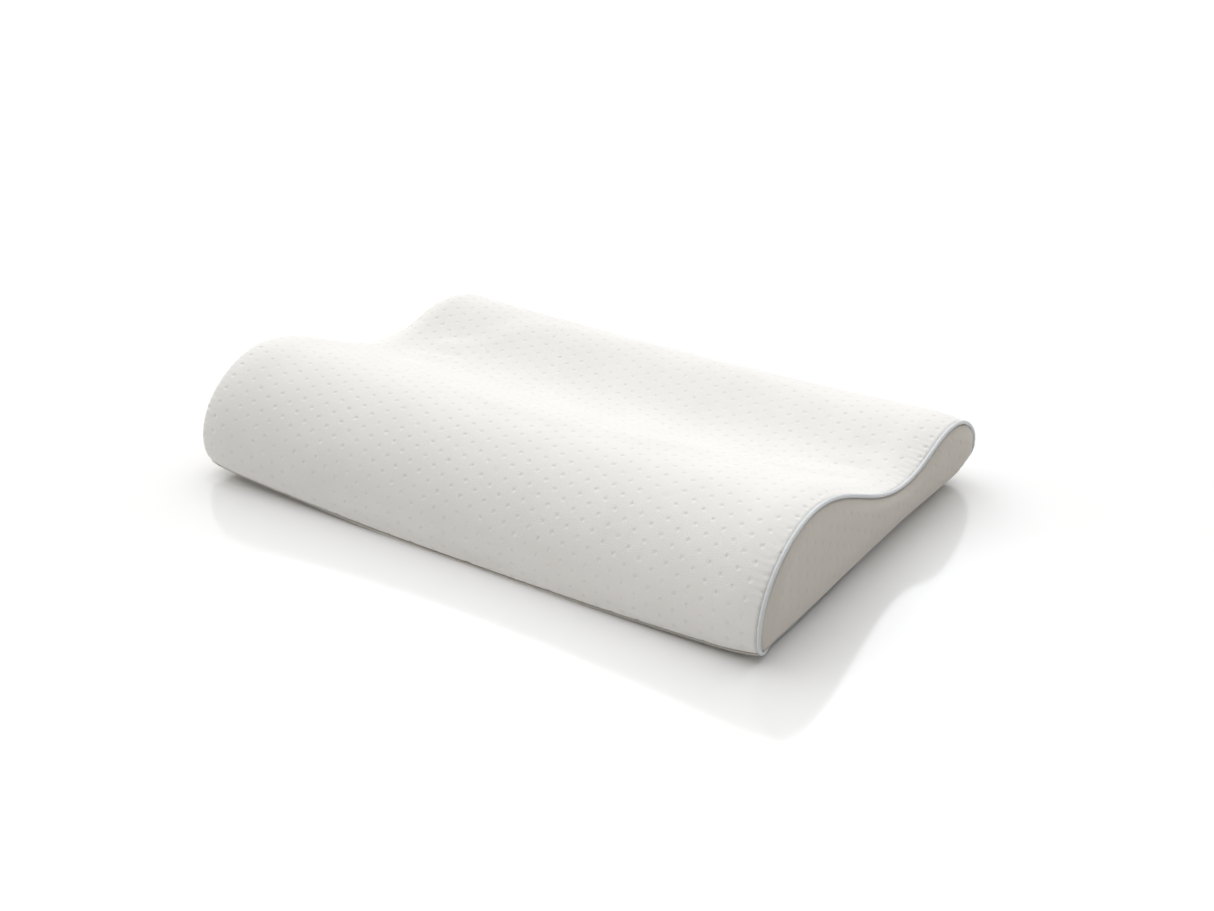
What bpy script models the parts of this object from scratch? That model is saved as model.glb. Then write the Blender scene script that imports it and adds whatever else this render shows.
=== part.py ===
"""Contoured bed pillow: a moulded foam core inside a zipped knitted cover.

X runs along the pillow. -Y is the high neck side, +Y the low side, which carries the zip.
+Z is up, and the flat base lies on Z = 0. Everything is in metres.
"""
import math

import bmesh
import bpy

# Overall size.
SEAM_LENGTH = 0.500  # between the two end seams
DEPTH = 0.333
FRONT_HEIGHT = 0.086  # crest of the neck lobe
VALLEY_HEIGHT = 0.0485
REAR_HEIGHT = 0.0635  # crest of the low lobe

# Where the wave turns, measured from the front or the rear face.
FRONT_CREST = 0.0755
VALLEY_FROM_REAR = 0.1235
REAR_CREST = 0.0465
FRONT_MID = 0.022  # height of the foremost line
FOOT = 0.016  # how far the front face tucks in under itself
UNDERCUT = 0.0385  # the same at the rear
ZIP_TOP = 0.034  # the upright strip that holds the zip
ZIP_BOTTOM = 0.022
FRONT_ROUND = 1.88  # superellipse powers of the front face
FOOT_ROUND = 2.4

# Cover.
COVER_T = 0.0025
EDGE_ROLL = 0.0055  # how far the cover rolls in at an end seam
ROLL_WIDTH = 0.030
BULGE = 0.006  # how far an end panel stands out
SEAM_AT = 0.33  # place of the lower front seam on the foot curve, 0 below to 1 in front
SEAM_PLAY = 0.02
PLAY = 0.0004  # gap between neighbouring soft pieces
CORE_INSET = COVER_T + PLAY
PIPING_R = 0.0015
FLANGE_T = 0.0005
FLANGE_W = 0.0050

# Zip.
ZIP_LENGTH = 0.400  # length of the chain
TAPE_T = 0.0005
TAPE_RUN = 0.5  # share of the curve above and below that the tapes reach under the cover
TAPE_PAST = 0.010  # how far the tapes run past the chain
CHAIN_W = 0.0024
CHAIN_T = 0.0016
CHAIN_GAP = 0.0014
RUN = 0.0003  # running clearance of the slider
SLIDER_L = 0.0090
PLATE_T = 0.0008
FLANGE = 0.00045  # side lips of the slider
WEDGE_L = 0.0025
BAIL_W = 0.0018
BAIL_T = 0.0006
CROSSBAR_R = 0.0006
TAB_L = 0.0220
TAB_W = 0.0060
TAB_T = 0.0010
STOP_L = 0.0025
GROOVE = 0.0026  # how far the foam gives way behind the zip

HALF = SEAM_LENGTH / 2
ZIP_Z = (ZIP_TOP + ZIP_BOTTOM) / 2
ZIP_HALF = (ZIP_TOP - ZIP_BOTTOM) / 2

# Depths below the cover's face at the zip.
TAPE_OUT = -(COVER_T + RUN)
TAPE_IN = TAPE_OUT - TAPE_T
CHAIN_IN = TAPE_OUT + RUN / 3
CHAIN_OUT = CHAIN_IN + CHAIN_T
TOP_IN = CHAIN_OUT + RUN
TOP_OUT = TOP_IN + PLATE_T
BOTTOM_OUT = TAPE_IN - RUN - 0.0001
BOTTOM_IN = BOTTOM_OUT - PLATE_T
CHAIN_EDGE = CHAIN_GAP / 2 + CHAIN_W
SLIDER_HALF = CHAIN_EDGE + RUN + FLANGE
SLOT_HALF = SLIDER_HALF + 0.0005
WEDGE_HALF = CHAIN_GAP / 2 - RUN
HINGE_N = TOP_OUT + CROSSBAR_R + 0.00035
BAIL_H = 2 * CROSSBAR_R + 0.0010 + BAIL_T
BAIL_REACH = 0.34 * SLIDER_L

# The bail stands out at the back, so the cover's faces sit a little forward of centre.
FRONT_Y = -(DEPTH + TOP_OUT + BAIL_H) / 2
REAR_Y = FRONT_Y + DEPTH

KNIT = ("cover knit", (0.88, 0.87, 0.84), 0.95, 0.0)
SATIN = ("satin piping", (0.82, 0.82, 0.82), 0.35, 0.0)
BASE = ("base knit", (0.80, 0.79, 0.76), 0.95, 0.0)
FOAM = ("viscoelastic foam", (0.93, 0.90, 0.80), 0.9, 0.0)
TAPE = ("zip tape", (0.86, 0.86, 0.84), 0.9, 0.0)
NYLON = ("nylon chain", (0.88, 0.88, 0.86), 0.45, 0.0)
METAL = ("zip metal", (0.72, 0.72, 0.73), 0.3, 1.0)


def clear_scene():
    for obj in list(bpy.data.objects):
        bpy.data.objects.remove(obj, do_unlink=True)


def material(spec):
    name, colour, roughness, metallic = spec
    mat = bpy.data.materials.get(name)
    if mat is None:
        mat = bpy.data.materials.new(name)
        mat.use_nodes = True
        shader = mat.node_tree.nodes["Principled BSDF"]
        shader.inputs["Base Color"].default_value = (*colour, 1.0)
        shader.inputs["Roughness"].default_value = roughness
        shader.inputs["Metallic"].default_value = metallic
    return mat


def finish(name, bm, spec, place=(0.0, 0.0, 0.0)):
    """Turn a bmesh into a named object with its faces outward."""
    bmesh.ops.remove_doubles(bm, verts=bm.verts, dist=1e-6)
    bmesh.ops.recalc_face_normals(bm, faces=bm.faces)
    mesh = bpy.data.meshes.new(name)
    bm.to_mesh(mesh)
    bm.free()
    mesh.materials.append(material(spec))
    obj = bpy.data.objects.new(name, mesh)
    obj.location = place
    bpy.context.scene.collection.objects.link(obj)
    return obj


# --- the wave outline ---------------------------------------------------------------------


def quarter(t, power):
    """Sine and cosine of a quarter turn, bent to a superellipse."""
    angle = t * math.pi / 2
    return math.sin(angle) ** (2 / power), max(math.cos(angle), 0.0) ** (2 / power)


def radii(across, up, inset):
    return max(across - inset, 0.001), max(up - inset, 0.001)


def outline_point(segment, t, inset):
    """A point (y, z) on the pillow's section, moved in from the cover's face by inset."""
    crest_y = FRONT_Y + FRONT_CREST
    valley_y = REAR_Y - VALLEY_FROM_REAR
    rear_y = REAR_Y - REAR_CREST
    wave = 0.5 + 0.5 * math.cos(math.pi * t)
    if segment == "foot":
        s, c = quarter(t, FOOT_ROUND)
        a, b = radii(FOOT, FRONT_MID, inset)
        return FRONT_Y + FOOT - a * s, FRONT_MID - b * c
    if segment == "front":
        s, c = quarter(t, FRONT_ROUND)
        a, b = radii(FRONT_CREST, FRONT_HEIGHT - FRONT_MID, inset)
        return crest_y - a * c, FRONT_MID + b * s
    if segment == "fall":
        height = VALLEY_HEIGHT + (FRONT_HEIGHT - VALLEY_HEIGHT) * wave
        return crest_y + (valley_y - crest_y) * t, height - inset
    if segment == "rise":
        height = REAR_HEIGHT - (REAR_HEIGHT - VALLEY_HEIGHT) * wave
        return valley_y + (rear_y - valley_y) * t, height - inset
    if segment == "back":
        s, c = quarter(t, 2.0)
        a, b = radii(REAR_CREST, REAR_HEIGHT - ZIP_TOP, inset)
        return rear_y + a * s, ZIP_TOP + b * c
    if segment == "zip":
        return REAR_Y - inset, ZIP_TOP + (ZIP_BOTTOM - ZIP_TOP) * t
    if segment == "heel":
        s, c = quarter(t, 2.0)
        a, b = radii(UNDERCUT, ZIP_BOTTOM, inset)
        return REAR_Y - UNDERCUT + a * c, ZIP_BOTTOM - b * s
    start, end = REAR_Y - UNDERCUT, FRONT_Y + FOOT
    return start + (end - start) * t, inset


def steps(segment, count, start=0.0, end=1.0):
    """Places on one segment, from start to just before end."""
    return [(segment, start + (end - start) * i / count) for i in range(count)]


def whole_loop():
    """All the way round the section, from the front edge of the base."""
    return (
        steps("foot", 5)
        + steps("front", 9)
        + steps("fall", 8)
        + steps("rise", 6)
        + steps("back", 7)
        + steps("zip", 3)
        + steps("heel", 6)
        + steps("base", 8)
    )


def edge_roll(x):
    """How far the cover has rolled in at a distance x from the middle."""
    inner = min(1.0, (HALF - abs(x)) / ROLL_WIDTH)
    return EDGE_ROLL * (1 - inner) ** 2


def stations(end):
    """Places along half the pillow, closer together where the edge rolls in, mirrored."""
    slot_end = ZIP_LENGTH / 2 + TAPE_PAST
    right = [end, HALF - 0.006, HALF - 0.013, HALF - 0.021, HALF - ROLL_WIDTH]
    right += [slot_end + 0.004, slot_end, slot_end * 0.6, slot_end * 0.2]
    right = sorted(set(right))
    return [-x for x in reversed(right)] + right


# --- solids from rings and strips ----------------------------------------------------------


def add_ring(bm, points):
    return [bm.verts.new(p) for p in points]


def bridge(bm, ring_a, ring_b):
    count = len(ring_a)
    for i in range(count):
        j = (i + 1) % count
        bm.faces.new((ring_a[i], ring_a[j], ring_b[j], ring_b[i]))


def loop_at(x, inset, path, extra=None):
    """One closed ring of the section at x."""
    ring = []
    for segment, t in path:
        more = extra(segment, t) if extra else 0.0
        y, z = outline_point(segment, t, inset + more)
        ring.append((x, y, z))
    return ring


def stack(name, rings, spec):
    """A closed body from rings in order, with a flat cap at both ends."""
    bm = bmesh.new()
    made = [add_ring(bm, ring) for ring in rings]
    for ring_a, ring_b in zip(made, made[1:]):
        bridge(bm, ring_a, ring_b)
    bm.faces.new(made[0])
    bm.faces.new(made[-1])
    return finish(name, bm, spec)


def hoop(name, rings, spec):
    """A closed loop of constant section, such as piping, from the rings of its section."""
    bm = bmesh.new()
    made = [add_ring(bm, ring) for ring in rings]
    for ring_a, ring_b in zip(made, made[1:] + made[:1]):
        bridge(bm, ring_a, ring_b)
    return finish(name, bm, spec)


def strip(name, path_at, places, outer, inner, spec):
    """A band of cloth that follows part of the section, from one station to the next."""
    bm = bmesh.new()
    sheets = []
    for depth in (outer, inner):
        rows = []
        for x in places:
            inset = edge_roll(x) + depth
            row = [(x, *outline_point(segment, t, inset)) for segment, t in path_at(x)]
            rows.append(add_ring(bm, row))
        sheets.append(rows)
    for rows in sheets:
        for row_a, row_b in zip(rows, rows[1:]):
            for i in range(len(row_a) - 1):
                bm.faces.new((row_a[i], row_a[i + 1], row_b[i + 1], row_b[i]))
    top, low = sheets
    for k in range(len(places) - 1):
        for i in (0, -1):
            bm.faces.new((top[k][i], top[k + 1][i], low[k + 1][i], low[k][i]))
    for k in (0, -1):
        for i in range(len(top[k]) - 1):
            bm.faces.new((top[k][i], top[k][i + 1], low[k][i + 1], low[k][i]))
    return finish(name, bm, spec)


def prism(bm, outline, start, end):
    """Extrude an outline between two places. outline(place) gives its corners there."""
    low = add_ring(bm, outline(start))
    high = add_ring(bm, outline(end))
    bm.faces.new(low)
    bm.faces.new(high)
    bridge(bm, low, high)


def soften(bm, width):
    """Break the sharp edges of a metal plate."""
    bmesh.ops.recalc_face_normals(bm, faces=bm.faces)
    bmesh.ops.bevel(
        bm,
        geom=bm.edges[:],
        offset=width,
        offset_type="OFFSET",
        segments=1,
        profile=0.5,
        affect="EDGES",
        clamp_overlap=True,
        material=-1,
    )


# --- the soft pieces -----------------------------------------------------------------------


def slot_share(x, side):
    """Where the cover's edge lies on the upright zip strip, 0 at its top to 1 at its foot."""
    past = abs(x) - (ZIP_LENGTH / 2 + TAPE_PAST)
    half = SLOT_HALF if past <= 1e-6 else PLAY / 2
    return 0.5 - side * half / (2 * ZIP_HALF)


def band_path(x):
    """From the lower front seam over the top and down to the zip's upper edge."""
    edge = slot_share(x, 1)
    return (
        steps("foot", 4, SEAM_AT, 1.0)
        + steps("front", 9)
        + steps("fall", 8)
        + steps("rise", 6)
        + steps("back", 7)
        + [("zip", 0.0), ("zip", edge)]
    )


def base_path(x):
    """From the zip's lower edge under the pillow to the lower front seam."""
    edge = slot_share(x, -1)
    return (
        [("zip", edge)]
        + steps("heel", 6)
        + steps("base", 8)
        + steps("foot", 3, 0.0, SEAM_AT - SEAM_PLAY)
        + [("foot", SEAM_AT - SEAM_PLAY)]
    )


def cover_end():
    return HALF - PIPING_R - PLAY


def groove(segment, t):
    """Extra depth where the foam gives way to the zip behind it."""
    if segment == "zip":
        return GROOVE
    if segment == "back" and t > 0.4:
        return GROOVE * (t - 0.4) / 0.6
    if segment == "heel" and t < 0.6:
        return GROOVE * (0.6 - t) / 0.6
    return 0.0


def foam_core():
    path = whole_loop()
    places = stations(cover_end())
    rings = [loop_at(x, edge_roll(x) + CORE_INSET, path, groove) for x in places]
    inner = EDGE_ROLL + PIPING_R + FLANGE_W
    dome = [
        (cover_end(), inner),
        (HALF + (BULGE - COVER_T) * 0.20, inner + 0.0040),
        (HALF + (BULGE - COVER_T) * 0.55, inner + 0.0070),
    ]
    right = [loop_at(x, inset, path) for x, inset in dome]
    left = [loop_at(-x, inset, path) for x, inset in reversed(dome)]
    stack("foam_core", left + rings + right, FOAM)


def cover_panels():
    places = stations(cover_end())
    strip("cover_top_band", band_path, places, 0.0, COVER_T, KNIT)
    strip("cover_base_panel", base_path, places, 0.0, COVER_T, BASE)


def end_panel(side, name):
    """A bulging end panel inside its ring of piping."""
    path = whole_loop()
    rim = EDGE_ROLL + PIPING_R + PLAY
    face = HALF - PLAY + COVER_T
    shape = [(0.0, 0.0), (0.0036, 0.40), (0.0086, 0.85), (0.0130, 1.0)]
    rise = BULGE - COVER_T + PLAY
    outer = [(face + rise * share, rim + step) for step, share in shape]
    inner = [(x - COVER_T, inset) for x, inset in reversed(outer)]
    rings = [loop_at(side * x, inset, path) for x, inset in reversed(outer)]
    rings += [loop_at(side * x, inset, path) for x, inset in reversed(inner)]
    stack(name, rings, KNIT)


def piping(side, name):
    """A round cord in satin, with the flat flange that is caught in the end seam."""
    path = whole_loop()
    near = HALF - PLAY - 0.00045
    root = EDGE_ROLL + PIPING_R * 0.72
    tip = EDGE_ROLL + PIPING_R + FLANGE_W - PLAY
    turns = [math.radians(-118 + 236 * i / 8) for i in range(9)]
    section = [(HALF + PIPING_R * math.sin(a), EDGE_ROLL - PIPING_R * math.cos(a)) for a in turns]
    section += [(near, root), (near, tip), (near - FLANGE_T, tip), (near - FLANGE_T, root)]
    rings = [loop_at(side * x, inset, path) for x, inset in section]
    hoop(name, rings, SATIN)


# --- the zip --------------------------------------------------------------------------------


def tape_path(side):
    """A tape runs from the chain to well under the cover's edge."""
    inner = 0.5 - side * (CHAIN_GAP / 2) / (2 * ZIP_HALF)
    if side > 0:
        return steps("back", 4, 1 - TAPE_RUN, 1.0) + [("zip", 0.0), ("zip", inner)]
    return [("zip", inner)] + steps("heel", 4, 0.0, TAPE_RUN) + [("heel", TAPE_RUN)]


def zip_tape(side, name):
    end = ZIP_LENGTH / 2 + TAPE_PAST
    strip(name, lambda x: tape_path(side), [-end, 0.0, end], -TAPE_OUT, -TAPE_IN, TAPE)


def zip_chain(side, name):
    """One half of the chain, as the half-round envelope of its coil."""
    bm = bmesh.new()
    near = side * CHAIN_GAP / 2
    far = side * CHAIN_EDGE
    middle = (near + far) / 2
    section = [(near, CHAIN_IN), (near, CHAIN_IN + 0.55 * CHAIN_T), ((near + middle) / 2, CHAIN_OUT)]
    section += [((far + middle) / 2, CHAIN_OUT), (far, CHAIN_IN + 0.55 * CHAIN_T), (far, CHAIN_IN)]
    half = ZIP_LENGTH / 2
    prism(bm, lambda x: [(x, REAR_Y + n, ZIP_Z + w) for w, n in section], -half, half)
    finish(name, bm, NYLON)


def section_prism(name, section, start, end):
    """A clip on the zip: its section is a list of (across, out) corners."""
    bm = bmesh.new()
    prism(bm, lambda x: [(x, REAR_Y + n, ZIP_Z + w) for w, n in section], start, end)
    finish(name, bm, METAL)


def zip_stops():
    """Two clips at the closed end, and one wide clip across both halves at the other end."""
    lip = CHAIN_GAP / 2 - RUN
    web = CHAIN_GAP / 2 - RUN / 3
    start = -ZIP_LENGTH / 2 - RUN
    lower_leg = [(lip, BOTTOM_IN), (CHAIN_EDGE, BOTTOM_IN), (CHAIN_EDGE, BOTTOM_OUT), (web, BOTTOM_OUT)]
    upper_leg = [(web, CHAIN_IN), (CHAIN_EDGE, CHAIN_IN), (CHAIN_EDGE, CHAIN_OUT), (lip, CHAIN_OUT)]
    for side, name in ((1, "zip_top_stop_upper"), (-1, "zip_top_stop_lower")):
        section = [(side * w, n) for w, n in lower_leg + upper_leg]
        section_prism(name, section, start - STOP_L, start)
    right = lower_leg[1:3] + [(lip, BOTTOM_OUT), (lip, CHAIN_IN)] + upper_leg[1:3]
    section = right + [(-w, n) for w, n in reversed(right)]
    start = ZIP_LENGTH / 2 + RUN
    section_prism("zip_bottom_stop", section, start, start + 1.6 * STOP_L)


def box(bm, low, high):
    (x0, y0, z0), (x1, y1, z1) = low, high
    prism(bm, lambda x: [(x, y0, z0), (x, y1, z0), (x, y1, z1), (x, y0, z1)], x0, x1)


def merged(name, makers, spec, place):
    """Union several simple solids into one closed body."""
    parts = []
    for i, maker in enumerate(makers):
        bm = bmesh.new()
        maker(bm)
        parts.append(finish(f"{name}_{i}", bm, spec))
    body = parts[0]
    for part in parts[1:]:
        cut = body.modifiers.new("union", "BOOLEAN")
        cut.operation = "UNION"
        cut.solver = "EXACT"
        cut.object = part
    graph = bpy.context.evaluated_depsgraph_get()
    mesh = bpy.data.meshes.new_from_object(body.evaluated_get(graph))
    for part in parts:
        bpy.data.objects.remove(part, do_unlink=True)
    mesh.name = name
    obj = bpy.data.objects.new(name, mesh)
    obj.location = place
    bpy.context.scene.collection.objects.link(obj)
    return obj


def slider_place():
    """The slider is parked against the clips at the closed end."""
    return (-ZIP_LENGTH / 2 + SLIDER_L / 2 + RUN, REAR_Y, ZIP_Z)


def slider_plate(start, end):
    """A plate of the slider, narrower at the end where the two halves come in."""

    def make(bm):
        half = SLIDER_L / 2
        nose = SLIDER_HALF * 0.55
        right = [(-half, nose), (-half * 0.45, SLIDER_HALF), (half, SLIDER_HALF)]
        outline = right + [(u, -w) for u, w in reversed(right)]
        prism(bm, lambda n: [(u, n, w) for u, w in outline], start, end)
        soften(bm, 0.00015)

    return make


def slider_lip(side):
    def make(bm):
        low, high = sorted((side * (SLIDER_HALF - FLANGE), side * (SLIDER_HALF - 0.00002)))
        root = TOP_IN + PLATE_T / 2
        box(bm, (-SLIDER_L * 0.2, TAPE_OUT + RUN, low), (SLIDER_L / 2 - 0.0002, root, high))

    return make


def slider_wedge(bm):
    """The post between the two halves of the chain that holds the plates together."""
    start = -SLIDER_L / 2 + 0.0002
    deep = BOTTOM_IN + PLATE_T / 2
    box(bm, (start, deep, -WEDGE_HALF), (start + WEDGE_L, TOP_IN + PLATE_T / 2, WEDGE_HALF))


def slider_bail(bm):
    """The arch that the pull tab turns under."""
    root = TOP_OUT - PLATE_T / 4
    rise = BAIL_H + PLATE_T / 4
    outer = []
    inner = []
    for i in range(9):
        angle = math.pi * i / 8
        lift = math.sin(angle) ** 0.6 if 0 < i < 8 else 0.0
        outer.append((-BAIL_REACH * math.cos(angle), root + rise * lift))
        inner.append((-(BAIL_REACH - BAIL_T) * math.cos(angle), root + (rise - BAIL_T) * lift))
    outline = outer + list(reversed(inner))
    prism(bm, lambda w: [(u, n, w) for u, n in outline], -BAIL_W / 2, BAIL_W / 2)


def zip_slider():
    makers = [slider_plate(TOP_IN, TOP_OUT), slider_plate(BOTTOM_IN, BOTTOM_OUT)]
    makers += [slider_wedge, slider_lip(1), slider_lip(-1), slider_bail]
    merged("zip_slider", makers, METAL, slider_place())


def tab_arm(side, reach):
    def make(bm):
        low, high = sorted((side * (BAIL_W / 2 + RUN), side * TAB_W / 2))
        box(bm, (-TAB_T / 2, -TAB_T / 2, low), (reach, TAB_T / 2, high))

    return make


def zip_pull_tab():
    """A flat tab with a window at its root. The bar across the window turns under the bail."""
    window = BAIL_REACH + 2 * RUN

    def plate(bm):
        half = TAB_W / 2
        right = [(window, half), (TAB_L - half, half), (TAB_L, half * 0.5)]
        outline = right + [(u, -w) for u, w in reversed(right)]
        prism(bm, lambda n: [(u, n, w) for u, w in outline], -TAB_T / 2, TAB_T / 2)
        soften(bm, 0.0002)

    def crossbar(bm):
        corners = [math.radians(22.5 + 45 * i) for i in range(8)]
        ring = [(CROSSBAR_R * math.cos(a), CROSSBAR_R * math.sin(a)) for a in corners]
        reach = BAIL_W / 2 + 2 * RUN
        prism(bm, lambda w: [(u, n, w) for u, n in ring], -reach, reach)

    x, y, z = slider_place()
    makers = [plate, tab_arm(1, window + 0.0006), tab_arm(-1, window + 0.0006), crossbar]
    merged("zip_pull_tab", makers, METAL, (x, y + HINGE_N, z))


def main():
    clear_scene()
    foam_core()
    cover_panels()
    for side, end in ((1, "right"), (-1, "left")):
        end_panel(side, f"cover_end_panel_{end}")
        piping(side, f"piping_{end}")
    for side, place in ((1, "upper"), (-1, "lower")):
        zip_tape(side, f"zip_tape_{place}")
        zip_chain(side, f"zip_chain_{place}")
    zip_stops()
    zip_slider()
    zip_pull_tab()


main()
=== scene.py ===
"""Contoured bed pillow, drawn as it is sewn: foam core, four cover panels, piping and zip."""
import math

import bmesh
import bpy
import numpy as np
from mathutils import Matrix, Vector, kdtree


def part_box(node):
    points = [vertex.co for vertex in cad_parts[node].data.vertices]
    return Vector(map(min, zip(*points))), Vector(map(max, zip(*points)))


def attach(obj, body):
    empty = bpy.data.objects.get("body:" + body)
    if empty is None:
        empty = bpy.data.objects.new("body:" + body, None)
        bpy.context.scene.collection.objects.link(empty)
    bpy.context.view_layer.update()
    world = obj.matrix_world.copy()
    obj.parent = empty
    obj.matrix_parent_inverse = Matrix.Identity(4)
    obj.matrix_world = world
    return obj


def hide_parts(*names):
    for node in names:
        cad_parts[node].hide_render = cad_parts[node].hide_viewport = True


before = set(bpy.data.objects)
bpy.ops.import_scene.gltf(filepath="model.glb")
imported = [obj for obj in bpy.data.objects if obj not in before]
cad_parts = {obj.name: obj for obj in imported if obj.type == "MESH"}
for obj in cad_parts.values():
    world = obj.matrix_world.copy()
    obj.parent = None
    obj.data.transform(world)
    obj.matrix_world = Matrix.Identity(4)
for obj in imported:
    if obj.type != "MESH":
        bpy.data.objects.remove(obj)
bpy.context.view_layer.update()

# --- sizes, in metres -----------------------------------------------------------------------

band_low, band_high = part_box("cover_top_band")
piping_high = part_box("piping_right")[1]
tape_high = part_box("zip_tape_upper")[1]
chain_low, chain_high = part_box("zip_chain_upper")

PIPING_R = 0.0015
HALF = piping_high[0] - PIPING_R  # end seams stand at +-HALF
FRONT_Y = band_low[1]
REAR_Y = band_high[1]
CREST = band_high[2]

# Heights of the wave above the floor.
VALLEY = 0.0485
REAR_CREST = 0.0635
FRONT_MID = 0.022  # where the front face stands upright
ZIP_TOP = 0.034
ZIP_BOTTOM = 0.022

# Where the wave turns, measured in from the front or the rear face.
CREST_IN = 0.0755
VALLEY_IN = 0.1235
REAR_IN = 0.0465
FOOT = 0.016
UNDERCUT = 0.0385
FOOT_POWER, FRONT_POWER = 2.4, 1.88  # 2 is a true ellipse, more is squarer

# How the stuffed pillow lies.
LIFT_RIGHT, LIFT_LEFT = 0.0070, 0.0112  # of the ends above the middle
SINK = 0.0040  # of the upper part as a whole
FRONT_BOW, FRONT_SET = 0.0071, 0.0027  # bow of the middle, less a shift of the whole face
SEAM_BOW = 0.0050  # how far the lower front seam bows out by itself
REAR_BOW, REAR_SET = 0.0075, 0.0040
END_START = 0.215  # where the ends start to be drawn in
TUCK, TUCK_BACK = 0.001, 0.010  # of the bottom edges, and how much more to the rear
TUCK_UNDER = 0.0060  # of the edge at the floor, behind the front corners
TUCK_LEFT = 0.006  # of the left end's top, to the rear
CORNER_DROP = 0.0050  # of the piping's lower run behind the front corner
LEFT_DROP = 0.0080  # of the left end's upper seam
SNUG, SNUG_WIDTH = 0.0015, 0.006  # how far the left edge comes to its piping

ZIP_Z = (ZIP_TOP + ZIP_BOTTOM) / 2
ZIP_END = chain_high[0]
ZIP_SHUT = tape_high[0] + 0.0005  # where the slot starts to close

STITCH_IN = 0.0024  # from the edge of the slot to the stitch row
STITCH_PITCH = 0.0032
TAPE_IN = 0.0029  # the tapes' depth below the cover's face
TAPE_WIDTH = 0.0130
TAPE_T = 0.0004
TAPE_GAP = 0.00055  # from the middle of the zip to a tape's inner edge
CHAIN_PITCH = 0.0012
CHAIN_INNER, CHAIN_OUTER = 0.00048, 0.0031  # from the middle of the zip
CORE_IN = 0.0034  # from the cover's face to the foam
CORE_GROOVE = 0.0026  # how much deeper the foam lies behind the zip
PANEL_IN = 0.0012  # from an end seam to the edge of the band and the base
HEM, END_HEM = 0.0022, 0.0020  # how far an open rim turns in
OUTLINE_POINTS = 600  # round an end panel, to measure how near its seam is
PLEAT = 0.0056  # pleats and pinches along an end seam
PLEAT_REACH, END_PLEAT_REACH = 0.0075, 0.0040
PLEAT_RISE, VALLEY_RISE, END_PLEAT_RISE = 0.00028, 0.00030, 0.00013
WAVER, END_WAVER = 0.00035, 0.00025  # slow unevenness of the cloth
EDGE_TURN = 0.0024  # how far, and over what width, an edge turns in at an end seam
PANEL_TURN = 0.0022  # the same for an end panel
ZIP_DIP = 0.0012  # of the cover past the zip's ends
EDGE_ROLL = 0.0055  # how far the cover has rolled in at an end seam
ROLL_WIDTH = 0.030  # how far from the seam that roll starts
CORNER_R = 0.0072  # turn of the cover into the left end seam
BULGE = 0.0045  # of an end panel's middle
FOAM_HOLD = 0.10  # how strongly the foam keeps the cover to its shape
LEAST = 0.72  # the least share of the full swell anywhere
SLOT_HALF = 0.00435  # from the middle of the zip to the cover's edge
SEAM_AT = 0.20  # share of the foot below the lower front seam

# Pressed pits in the velour: a slanted triangular lattice along the band.
PIT_UP = Vector((-0.0006, 0.0122))
PIT_ACROSS = Vector((0.0099, 0.0071))
PIT_HOME = Vector((0.1527, 0.1008))
PIT_R = 0.0024
PIT_DEPTH = 0.0008
FINE = 4  # mesh steps from one pit to the next


# --- small helpers --------------------------------------------------------------------------


def smooth(value, low, high):
    """0 below low, 1 above high, with a soft turn between."""
    t = np.clip((value - low) / (high - low), 0.0, 1.0)
    return t * t * (3 - 2 * t)


def colour(code):
    """An sRGB hex colour as linear red, green, blue and alpha."""
    parts = [int(code[i : i + 2], 16) / 255 for i in (1, 3, 5)]
    linear = [p / 12.92 if p <= 0.04045 else ((p + 0.055) / 1.055) ** 2.4 for p in parts]
    return (*linear, 1.0)


def ripple(a, b, seed):
    """A gentle unevenness between about -1 and 1, the same on each run."""
    rng = np.random.default_rng(seed)
    total = np.zeros_like(a)
    for _ in range(5):
        angle = rng.uniform(0, math.tau)
        stretch = rng.uniform(0.6, 1.5)
        phase = rng.uniform(0, math.tau)
        total += np.sin(stretch * (a * math.cos(angle) + b * math.sin(angle)) + phase)
    return total / 3.2


def coords(verts):
    """The places of vertices as an array."""
    return np.array([v.co for v in verts])


def move(verts, places):
    """Put vertices at the rows of an array."""
    for vert, place in zip(verts, places.tolist()):
        vert.co = place


# --- the section ----------------------------------------------------------------------------


def section(part, t):
    """Points (y, z) on one part of the cover's section, for t from 0 to 1."""
    crest_y = FRONT_Y + CREST_IN
    valley_y = REAR_Y - VALLEY_IN
    rear_y = REAR_Y - REAR_IN
    wave = 0.5 + 0.5 * np.cos(np.pi * t)
    sine = np.sin(t * np.pi / 2)
    cosine = np.maximum(np.cos(t * np.pi / 2), 0.0)
    if part == "foot":
        sine, cosine = sine ** (2 / FOOT_POWER), cosine ** (2 / FOOT_POWER)
        return FRONT_Y + FOOT * (1 - sine), FRONT_MID * (1 - cosine)
    if part == "front":
        sine, cosine = sine ** (2 / FRONT_POWER), cosine ** (2 / FRONT_POWER)
        return crest_y - CREST_IN * cosine, FRONT_MID + (CREST - FRONT_MID) * sine
    if part == "fall":
        return crest_y + (valley_y - crest_y) * t, VALLEY + (CREST - VALLEY) * wave
    if part == "rise":
        return valley_y + (rear_y - valley_y) * t, REAR_CREST - (REAR_CREST - VALLEY) * wave
    if part == "back":
        return rear_y + REAR_IN * sine, ZIP_TOP + (REAR_CREST - ZIP_TOP) * cosine
    if part == "zip":
        return REAR_Y + 0 * t, ZIP_TOP + (ZIP_BOTTOM - ZIP_TOP) * t
    if part == "heel":
        return REAR_Y - UNDERCUT * (1 - cosine), ZIP_BOTTOM * (1 - sine)
    start = REAR_Y - UNDERCUT
    return start + (FRONT_Y + FOOT - start) * t, 0 * t


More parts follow.
